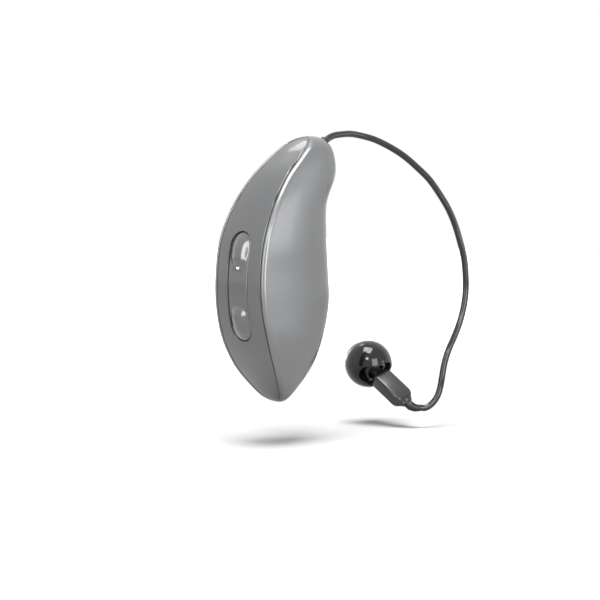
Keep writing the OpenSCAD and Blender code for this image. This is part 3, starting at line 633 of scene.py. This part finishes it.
# Degrees past its ends where it starts, and its edge's depth for its width
COVER_START, EDGE_DEPTH = 0.05, 1.3
# How far over to the hole the last plain ring and the edge may reach, as shares
LAST_RING, EDGE_REACH = 0.985, 0.5
HOLE_EDGE = 0.1 * MM
COVER_TRIM = 0.04 * MM
# Microphone inlets: length and depth of the notches, and how square they are
INLET_L, INLET_W, INLET_SQUARE = 0.55 * MM, 0.09 * MM, 4


def rocker_outline(button, grow):
    """The rocker's outline as (y, z), with as many points as the cover's edge."""
    long, wide = button.rocker_l + 2 * grow, button.rocker_w + 2 * grow
    half_run, end_r = (long - wide) / 2, wide / 2
    total = math.pi * end_r + 2 * half_run
    points = []
    for k in range(COVER_HALF_POINTS):
        along = total * k / (COVER_HALF_POINTS - 1)
        if along < math.pi * end_r / 2:
            a = along / end_r
            points.append((end_r * math.sin(a), half_run + end_r * math.cos(a)))
        elif along < math.pi * end_r / 2 + 2 * half_run:
            points.append((end_r, half_run - (along - math.pi * end_r / 2)))
        else:
            a = (along - math.pi * end_r / 2 - 2 * half_run) / end_r
            points.append((end_r * math.cos(a), -half_run - end_r * math.sin(a)))
    points += [(-y, z) for y, z in reversed(points)]
    return [(y, z - button.rocker_drop) for y, z in points]


def cover_outline(form):
    """The cover's edge as (y, z), with a notch at each microphone inlet."""
    outline = []
    angles = stations(COVER_HALF_POINTS - 1, COVER_U + COVER_START)
    for sign, order in ((1, angles), (-1, angles[::-1])):
        for angle in order:
            z = form.height(angle)
            notch = sum(math.exp(-((z - form.height(inlet)) / INLET_L) ** INLET_SQUARE)
                        for inlet in INLET_U)
            half = form.opening(angle) - COVER_TRIM - INLET_W * notch
            outline.append((sign * max(0, half), z))
    return outline


def cover_piece(form, button):
    """The spine cover: rings from its outer edge in to the rocker's hole."""
    sizes = form.sizes
    outer = cover_outline(form)
    hole = rocker_outline(button, button.rocker_gap)

    def laid(points, sink=0.0):
        """A ring of points on the crowned spine, or sunk under it."""
        ring = []
        for y, z in points:
            angle = form.station(z)
            ring.append((form.crown(angle, y) + sink * form.thin(angle), y, z))
        return ring

    def between(share_at):
        """Points part of the way to the hole, by a share of each point's run."""
        points = []
        for (y0, z0), (y1, z1) in zip(outer, hole):
            share = share_at(math.hypot(y1 - y0, z1 - z0))
            points.append((y0 + (y1 - y0) * share, z0 + (z1 - z0) * share))
        return points

    rings = [laid(outer, sizes.cover_t)]
    for a in quarter(COVER_EDGE_STEPS, COVER_EDGE_STEPS + 1):
        width = sizes.edge_r * (1 - math.cos(a))
        rings.append(laid(between(lambda run: min(EDGE_REACH, width / max(run, TINY))),
                          sizes.edge_r * EDGE_DEPTH * (1 - math.sin(a))))
    for k in range(1, COVER_RINGS + 1):
        share = k / COVER_RINGS if k < COVER_RINGS else LAST_RING
        rings.append(laid(between(lambda run: share)))
    for a in quarter(HOLE_EDGE_STEPS, HOLE_EDGE_STEPS + 1):
        grow = button.rocker_gap + HOLE_EDGE * (1 - math.sin(a))
        rings.append(laid(rocker_outline(button, grow), HOLE_EDGE * (1 - math.cos(a))))
    rings.append(laid(hole, sizes.cover_t))
    piece = make_piece("spine_cover_skin", rings, loft_faces(rings, closed=True),
                       "grey_lacquer", "housing", LOFT_ANGLE)
    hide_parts("spine_cover")
    return piece


# Rocker: rows along its straight part and round each end, points across, and
# the last row's turn round the end in degrees
ROCKER_ROWS, ROCKER_END_ROWS, ROCKER_COLS, ROCKER_LAST = 200, 24, 40, 89
ROCKER_EDGE = 0.14 * MM
# How square the bumps are along the rocker, and how softly they run out
BUMP_SQUARE, BUMP_SOFT = 2.6, 1.2


def rocker_rows(run, end_r):
    """Heights from its lower to its upper end, with half its width at each."""
    turns = [math.radians(ROCKER_LAST * k / ROCKER_END_ROWS)
             for k in range(1, ROCKER_END_ROWS + 1)]
    upper = [(run + end_r * math.sin(a), end_r * math.cos(a)) for a in turns]
    middle = [(run * (2 * k / ROCKER_ROWS - 1), end_r)
              for k in range(ROCKER_ROWS + 1)]
    return [(-z, half) for z, half in upper[::-1]] + middle + upper


def rocker_piece(form, button):
    """The rocker: a curved plate with two polished bumps and a flat between."""
    middle = -button.rocker_drop
    spine = form.crown(form.station(middle), 0)
    face = spine + button.rocker_sink
    ends = [form.crown(form.station(middle + end * button.rocker_l / 2), 0)
            for end in (-1, 1)]
    sag = sum(ends) / 2 - spine
    radius = ((button.rocker_l / 2) ** 2 + sag * sag) / (2 * sag)
    crown = CROWN_SHARE * form.half(form.station(middle))
    flat_half = button.bump_z - button.bump_l / 2 - button.groove_soft / 2
    run, end_r = (button.rocker_l - button.rocker_w) / 2, button.rocker_w / 2

    def surface(y, z):
        x = face + radius - math.sqrt(radius ** 2 - z * z)
        x += crown * (2 * y / form.sizes.cover_w) ** 2
        for at in (-button.bump_z, button.bump_z):
            out = ((2 * y / button.bump_w) ** 2
                   + abs(2 * (z - at) / button.bump_l) ** BUMP_SQUARE)
            x -= button.bump_h * max(0, 1 - out) ** BUMP_SOFT
        edge = max(abs(y) - button.groove_w / 2, abs(z) - flat_half)
        inside = min(1, max(0, 0.5 - edge / button.groove_soft))
        x += button.groove_t * inside * inside * (3 - 2 * inside)
        near = min(ROCKER_EDGE, end_r - math.hypot(y, max(0, abs(z) - run)))
        return x + ROCKER_EDGE - math.sqrt(max(0, ROCKER_EDGE ** 2
                                               - (ROCKER_EDGE - near) ** 2))

    rings = []
    for z, half in rocker_rows(run, end_r):
        back = face + radius - math.sqrt((radius - button.rocker_t) ** 2 - z * z)
        across = [half * math.sin(math.pi * (k / ROCKER_COLS - 0.5))
                  for k in range(ROCKER_COLS + 1)]
        rings.append([(surface(y, z), y, z + middle) for y in across]
                     + [(back, y, z + middle) for y in across[::-1]])
    piece = make_piece("rocker_skin", rings, tube_faces(rings), "button_lacquer",
                       "rocker", LOFT_ANGLE)
    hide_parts("rocker_button")
    return piece


def receiver_frame(sizes):
    """The receiver's own frame: local Z along it, from the boot to the dome."""
    return (Matrix.Translation(RECEIVER_AT)
            @ Matrix.Rotation(sizes.yaw, 4, "Z")
            @ Matrix.Rotation(sizes.pitch - math.pi / 2, 4, "X")
            @ Matrix.Rotation(sizes.roll, 4, "Z"))


def smooth_route(points, per_run):
    """Points on a smooth curve through a route, per_run to each stretch."""
    route = [Vector(point) * MM for point in points]
    out = []
    for i in range(len(route) - 1):
        start, end = route[i], route[i + 1]
        before = route[i - 1] if i else 2 * start - end
        after = route[i + 2] if i + 2 < len(route) else 2 * end - start
        out += [through(before, start, end, after, k / per_run)
                for k in range(per_run)]
    return out + [route[-1]]


# Points to each stretch of the wire and of the boot, and the wire's roundness
WIRE_RUN, BOOT_RUN, WIRE_ROUND = 4, 12, 6


def wire_piece(sizes):
    """The receiver wire as one open curve with a round section, and its length."""
    curve = bpy.data.curves.new("receiver_wire_jacket", "CURVE")
    curve.dimensions = "3D"
    curve.bevel_depth = sizes.wire_d / 2
    curve.bevel_resolution = WIRE_ROUND
    curve.resolution_u = 1
    curve.use_fill_caps = True
    points = smooth_route(WIRE_ROUTE, WIRE_RUN)
    spline = curve.splines.new("POLY")
    spline.points.add(len(points) - 1)
    for point, place in zip(spline.points, points):
        point.co = (*place, 1)
    spline.use_smooth = True
    curve.materials.append(bpy.data.materials["polyurethane_jacket"])
    piece = add_object("receiver_wire_jacket", curve)
    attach(piece, "housing")
    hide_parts("receiver_wire")
    return piece, sum((b - a).length for a, b in zip(points, points[1:]))


def tube_rings(points, radii, sides=32):
    """Rings round the points of a route, each with a radius of its own."""
    rings = []
    turns = [2 * math.pi * k / sides for k in range(sides)]
    for i, centre in enumerate(points):
        ahead = points[min(i + 1, len(points) - 1)] - points[max(i - 1, 0)]
        ahead.normalize()
        across = ahead.cross(Vector((0, 1, 0))).normalized()
        up = ahead.cross(across)
        rings.append([centre + radii[i] * (across * math.cos(a) + up * math.sin(a))
                      for a in turns])
    return rings


# The boot's ribs, how soon it has its full width, and a rib's share of that
BOOT_RIBS, BOOT_WIDEN, RIB_SHARE = 4, 2.2, 0.22


def boot_piece(sizes):
    """The ribbed boot that holds the wire at the receiver."""
    points = smooth_route(BOOT_ROUTE, BOOT_RUN)
    radii = []
    for i in range(len(points)):
        share = i / (len(points) - 1)
        rib = 0.5 + 0.5 * math.cos(2 * math.pi * BOOT_RIBS * share)
        wide = min(1, share * BOOT_WIDEN) * (1 - RIB_SHARE + RIB_SHARE * rib)
        radii.append(sizes.wire_d / 2 + (sizes.boot_d - sizes.wire_d) / 2 * wide)
    rings = tube_rings(points, radii)
    piece = make_piece("wire_boot_skin", rings, tube_faces(rings), "boot_elastomer",
                       "housing")
    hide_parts("wire_boot")
    return piece


def rounded_section(wide, high, corner, steps=10):
    """A rectangle with round corners as (x, y) points."""
    points = []
    for right, up, start in ((1, 1, 0), (-1, 1, 90), (-1, -1, 180), (1, -1, 270)):
        for k in range(steps + 1):
            a = math.radians(start + 90 * k / steps)
            points.append((right * (wide / 2 - corner) + corner * math.cos(a),
                           up * (high / 2 - corner) + corner * math.sin(a)))
    return points


# Radius of the case's corners, and how many times it fits a section's height
CORNER_R, CORNER_TIMES = 0.4 * MM, 2.2
# Places along the receiver case and how much narrower it is there, in mm: it
# reaches back over the end of the boot, where it has a step
CASE_PROFILE = ((-0.75, 0.62), (-0.7, 0.52), (-0.45, 0.48), (-0.42, 0.36),
                (-0.2, 0.3), (-0.15, 0.2), (0.1, 0.08), (0.45, 0), (3.9, 0),
                (4.2, 0.06), (4.45, 0.16), (4.6, 0.3), (4.7, 0.5))


def receiver_piece(sizes):
    """The receiver case: flat-sided, stepped down at its wire end."""
    place = receiver_frame(sizes)
    scale = sizes.case_l / (CASE_PROFILE[-1][0] * MM)
    rings = []
    for z, less in CASE_PROFILE:
        wide, high = sizes.case_w - 2 * less * MM, sizes.case_h - 2 * less * MM
        section = rounded_section(wide, high, min(CORNER_R, high / CORNER_TIMES))
        rings.append([place @ Vector((x, y, z * MM * scale)) for x, y in section])
    piece = make_piece("receiver_case_skin", rings, tube_faces(rings),
                       "graphite_polyamide", "housing", CASE_ANGLE)
    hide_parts("receiver_case")
    return piece


SPOUT_AT = (0.3 * MM, 0.1 * MM)


def spout_frame(sizes):
    """The spout's own frame, at the end of the case."""
    return receiver_frame(sizes) @ Matrix.Translation((*SPOUT_AT, sizes.case_l))


def revolved(name, profile, place, finish, body, steps=96):
    """A closed solid of revolution about local Z from (radius, z) points."""
    rings = []
    for k in range(steps):
        a = 2 * math.pi * k / steps
        rings.append([place @ Vector((out * math.cos(a), out * math.sin(a), z))
                      for out, z in profile])
    return make_piece(name, rings, loft_faces(rings, closed=True), finish, body)


# Ear dome: latitudes of the skirt's rim, of the ring groove round the nose and
# of the fillet between skirt and sleeve, then the sleeve, the nose and the vent
DOME_BACK, DOME_FRONT, DOME_JOIN = -46, 58, 47.7
SLEEVE_D, SLEEVE_Z, SLEEVE_TOP = 2.9 * MM, 0.4 * MM, 3.55 * MM
NOSE_D, NOSE_Z, NOSE_SOFT = 2.56 * MM, 4.74 * MM, 0.1 * MM
GROOVE_Z = 4.2 * MM
VENT_L, VENT_W, VENT_LATITUDE, VENT_TURN = 2.8 * MM, 2.3 * MM, -46, 203
VENT_START = 0.1 * MM
# Voxels, in units of a millimetre, that the moulded dome is rounded on, and the
# strength and number of the smoothing steps after that
VOXEL, EASE, EASE_TIMES = 0.06, 0.5, 6
# The barbed spout, and the gap that the dome's bore leaves round its barb
SPOUT_D, SPOUT_BORE, SPOUT_L, SPOUT_SOFT = 1.6 * MM, 0.9 * MM, 2.6 * MM, 0.06 * MM
BARB_D, BARB_L = 2 * MM, 0.9 * MM
RUNNING_GAP = 0.03 * MM


def dome_arc(middle, radius, start, end, steps=40):
    """Points (radius, z) on an arc of the dome from one latitude to another."""
    turns = [math.radians(start + (end - start) * k / steps)
             for k in range(steps + 1)]
    return [(radius * math.cos(a), middle + radius * math.sin(a)) for a in turns]


def dome_piece(sizes):
    """The silicone dome: a thin skirt, its sleeve, nose and vent, all soft."""
    enlarged = Matrix.Scale(1 / MM, 4)
    big, middle = sizes.dome_d / 2, sizes.dome_mid
    bore, nose = BARB_D / 2 + RUNNING_GAP, NOSE_D / 2
    profile = dome_arc(middle, big, DOME_BACK, DOME_FRONT)
    groove = profile[-1][0]
    profile += [(groove - NOSE_SOFT / 2, GROOVE_Z), (nose, GROOVE_Z),
                (nose, NOSE_Z - NOSE_SOFT), (nose - NOSE_SOFT, NOSE_Z),
                (bore + NOSE_SOFT / 2, NOSE_Z), (bore, NOSE_Z - NOSE_SOFT),
                (bore, SLEEVE_Z), (SLEEVE_D / 2, SLEEVE_Z),
                (SLEEVE_D / 2, SLEEVE_TOP)]
    profile += dome_arc(middle, big - sizes.dome_wall, DOME_JOIN, DOME_BACK)
    piece = revolved("ear_dome_skin", profile, enlarged, "silicone_rubber", "dome")
    vent = obround_cutter(
        VENT_L, VENT_W, SLEEVE_D / 2 + VENT_START, sizes.dome_d,
        enlarged @ turn(VENT_TURN, "Z")
        @ Matrix.Translation((0, 0, middle)) @ turn(-VENT_LATITUDE, "Y"))
    cut(piece, [vent], "FAST")
    soft = piece.modifiers.new("soft", "REMESH")
    soft.mode, soft.voxel_size = "VOXEL", VOXEL
    ease = piece.modifiers.new("ease", "SMOOTH")
    ease.factor, ease.iterations = EASE, EASE_TIMES
    apply_modifiers(piece)
    piece.data.transform(spout_frame(sizes) @ Matrix.Scale(MM, 4))
    shade_smooth(piece.data)
    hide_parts("ear_dome")
    return piece


def spout_piece(sizes):
    """The barbed spout that the dome is pushed on to."""
    out, bore, barb = SPOUT_D / 2, SPOUT_BORE / 2, BARB_D / 2
    neck = SPOUT_L - BARB_L
    profile = [(out, 0), (out, neck), (barb - SPOUT_SOFT, neck),
               (barb, neck + SPOUT_SOFT), (out + SPOUT_SOFT, SPOUT_L - SPOUT_SOFT),
               (out - SPOUT_SOFT, SPOUT_L), (bore, SPOUT_L), (bore, 0)]
    piece = revolved("sound_spout_skin", profile, spout_frame(sizes),
                     "graphite_polyamide", "housing", steps=64)
    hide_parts("sound_spout")
    return piece


class AID_OT_finishes(bpy.types.Operator):
    """Make the finishes and put them on the solids that stay in view"""
    bl_idname = "aid.finishes"
    bl_label = "Finishes"

    def execute(self, context):
        make_finishes(context.scene.aid_finishes)
        slots = {part["node"]: part["material_slot"]
                 for part in frame["record"]["subparts"]}
        for name, solid in frame["nodes"].items():
            finish = bpy.data.materials[FINISH_OF_SLOT[slots[name]]]
            if not solid.material_slots:
                solid.data.materials.append(finish)
            for place in solid.material_slots:
                place.material = finish
        return {"FINISHED"}


class AID_OT_housing(bpy.types.Operator):
    """Build the two side shells and the spine cover"""
    bl_idname = "aid.housing"
    bl_label = "Housing"

    def execute(self, context):
        form = Housing(context.scene.aid_housing)
        for name, sign in (("outer_shell", -1), ("inner_shell", 1)):
            cut(shell_piece(form, name, sign), shell_cutters(form, sign))
        cover_piece(form, context.scene.aid_button)
        return {"FINISHED"}


class AID_OT_rocker(bpy.types.Operator):
    """Build the rocker button with its two bumps"""
    bl_idname = "aid.rocker"
    bl_label = "Rocker"

    def execute(self, context):
        rocker_piece(Housing(context.scene.aid_housing), context.scene.aid_button)
        return {"FINISHED"}


class AID_OT_wire(bpy.types.Operator):
    """Build the receiver wire and its boot"""
    bl_idname = "aid.wire"
    bl_label = "Wire"

    def execute(self, context):
        sizes = context.scene.aid_receiver
        wire, run = wire_piece(sizes)
        boot = boot_piece(sizes)
        return {"FINISHED"}


class AID_OT_receiver(bpy.types.Operator):
    """Build the receiver, its spout and the soft dome"""
    bl_idname = "aid.receiver"
    bl_label = "Receiver and dome"

    def execute(self, context):
        sizes = context.scene.aid_receiver
        receiver_piece(sizes)
        spout_piece(sizes)
        dome_piece(sizes)
        return {"FINISHED"}


# The photograph's view: 600 pixels across take in this width
VIEW_WIDTH = 72 * MM
VIEW_TARGET = Vector((-1.68, 1.68, -4.05)) * MM
VIEW_AZIMUTH, VIEW_ELEVATION = -45, 6
# Focal length and sensor in millimetres, and the nearest that the camera sees
LENS, SENSOR, NEAREST = 200, 36, 0.01
FLOOR_Z = -20.6 * MM


def aim(item, middle, azimuth, elevation, away):
    """Puts a camera or light some way from a place, looking at it."""
    a, e = math.radians(azimuth), math.radians(elevation)
    toward = Vector((math.sin(a) * math.cos(e), -math.cos(a) * math.cos(e),
                     math.sin(e)))
    item.location = middle + toward * away
    item.rotation_euler = (-toward).to_track_quat("-Z", "Y").to_euler()


# Softboxes: azimuth, elevation, width, height and power, and how far away all are
LIGHTS = {
    "left_softbox": (-85, 8, 0.11, 0.5, 0.9),
    "rim_softbox": (-12, 8, 0.2, 0.3, 1.0),
    "front_softbox": (-53, 32, 0.08, 0.08, 0.3),
    "right_softbox": (36, 4, 0.14, 0.1, 0.13),
    "overhead_softbox": (-60, 80, 0.24, 0.24, 2.1),
    "back_softbox": (160, 48, 0.08, 0.06, 0.07),
    "far_softbox": (158, 2, 0.08, 0.16, 0.12),
}
LIGHT_AWAY = 0.4
# Level of the white studio around: as light on the aid, and as the camera, gloss
# and see-through pieces show it
AMBIENT, BACKGROUND = 0.06, 1.0
# The floor: its half width, and the ring over which it turns into the white
FLOOR_HALF = 0.2
FADE_START, FADE_END = 0.05, 0.15
# Tone of the floor in the light that it throws back on the aid
FLOOR_BOUNCE = "#cccccc"


class AID_OT_stage(bpy.types.Operator):
    """Make the camera, the pale floor and the studio light"""
    bl_idname = "aid.stage"
    bl_label = "Stage"

    def execute(self, context):
        scene = context.scene
        scene.view_settings.view_transform = "Standard"
        camera = add_object("camera", bpy.data.cameras.new("camera"))
        scene.camera = camera
        camera.data.lens, camera.data.sensor_width = LENS, SENSOR
        camera.data.clip_start = NEAREST
        aim(camera, VIEW_TARGET, VIEW_AZIMUTH, VIEW_ELEVATION,
            VIEW_WIDTH * LENS / SENSOR)
        for name, (azimuth, elevation, wide, high, power) in LIGHTS.items():
            lamp = add_object(name, bpy.data.lights.new(name, "AREA"))
            lamp.data.shape, lamp.data.size, lamp.data.size_y = "RECTANGLE", wide, high
            lamp.data.energy = power
            aim(lamp, Vector(), azimuth, elevation, LIGHT_AWAY)
            lamp.visible_camera = False
        self.floor(scene)
        self.world(scene)
        return {"FINISHED"}

    def floor(self, scene):
        """A pale floor that fades into the white background."""
        mesh = bpy.data.meshes.new("floor")
        mesh.from_pydata([(x * FLOOR_HALF, y * FLOOR_HALF, FLOOR_Z) for x, y in (
            (-1, -1), (1, -1), (1, 1), (-1, 1))], [], [(0, 1, 2, 3)])
        floor = add_object("floor", mesh)
        material = bpy.data.materials.new("paper_floor")
        tree = empty_tree(material)
        path = add_node(tree, "LightPath")
        tone = add_node(tree, "Mix",
                        {MIX_FIRST: linear(FLOOR_BOUNCE),
                         MIX_SECOND: scene.aid_finishes.backdrop},
                        {MIX_FACTOR: path.outputs["Is Camera Ray"]},
                        data_type="RGBA")
        paper = add_node(tree, "BsdfDiffuse", None,
                         {"Color": tone.outputs[MIX_RESULT]})
        place = add_node(tree, "TexCoord")
        reach = add_node(tree, "VectorMath", None,
                         {0: place.outputs["Object"]}, operation="LENGTH")
        fade = add_node(tree, "MapRange",
                        {"From Min": FADE_START, "From Max": FADE_END},
                        {"Value": reach.outputs["Value"]},
                        interpolation_type="SMOOTHSTEP")
        seen = add_node(tree, "Math", None,
                        {0: path.outputs["Is Camera Ray"],
                         1: fade.outputs["Result"]}, operation="MULTIPLY")
        glow = add_node(tree, "Emission", None,
                        {"Strength": seen.outputs[0]})
        both = add_node(tree, "AddShader",
                        links={0: paper.outputs[0], 1: glow.outputs[0]})
        add_node(tree, "OutputMaterial",
                 links={"Surface": both.outputs[0]})
        mesh.materials.append(material)

    def world(self, scene):
        """The white studio: bright where it is seen, and dim as light."""
        scene.world = bpy.data.worlds.new("studio")
        tree = empty_tree(scene.world)
        path = add_node(tree, "LightPath")
        sharp = add_node(tree, "Math", None,
                         {0: path.outputs["Is Glossy Ray"],
                          1: path.outputs["Is Transmission Ray"]},
                         operation="MAXIMUM")
        seen = add_node(tree, "Math", None,
                        {0: path.outputs["Is Camera Ray"], 1: sharp.outputs[0]},
                        operation="MAXIMUM")
        level = add_node(tree, "MapRange",
                         {"To Min": AMBIENT, "To Max": BACKGROUND},
                         {"Value": seen.outputs[0]})
        sky = add_node(tree, "Background",
                       {"Color": (1, 1, 1, 1)}, {"Strength": level.outputs[0]})
        add_node(tree, "OutputWorld",
                 links={"Surface": sky.outputs[0]})


class AID_PT_panel(bpy.types.Panel):
    """Steps that dress the hearing aid"""
    bl_idname = "AID_PT_panel"
    bl_label = "Hearing Aid"
    bl_space_type = "VIEW_3D"
    bl_region_type = "UI"
    bl_category = "Hearing Aid"

    def draw(self, context):
        for step in STEPS:
            self.layout.operator(step.bl_idname)


GROUPS = {"aid_housing": AidHousingSizes, "aid_button": AidButtonSizes,
          "aid_receiver": AidReceiverSizes, "aid_finishes": AidFinishes}
STEPS = (AID_OT_finishes, AID_OT_stage, AID_OT_wire, AID_OT_housing,
         AID_OT_rocker, AID_OT_receiver)
CLASSES = tuple(GROUPS.values()) + STEPS + (AID_PT_panel,)


def register():
    for item in CLASSES:
        bpy.utils.register_class(item)
    for name, group in GROUPS.items():
        setattr(bpy.types.Scene, name, bpy.props.PointerProperty(type=group))


def unregister():
    for name in GROUPS:
        delattr(bpy.types.Scene, name)
    for item in reversed(CLASSES):
        bpy.utils.unregister_class(item)


def main():
    register()
    bpy.ops.aid.finishes()
    bpy.ops.aid.stage()
    bpy.ops.aid.wire()
    bpy.ops.aid.housing()
    bpy.ops.aid.rocker()
    bpy.ops.aid.receiver()


if __name__ == "__main__":
    main()
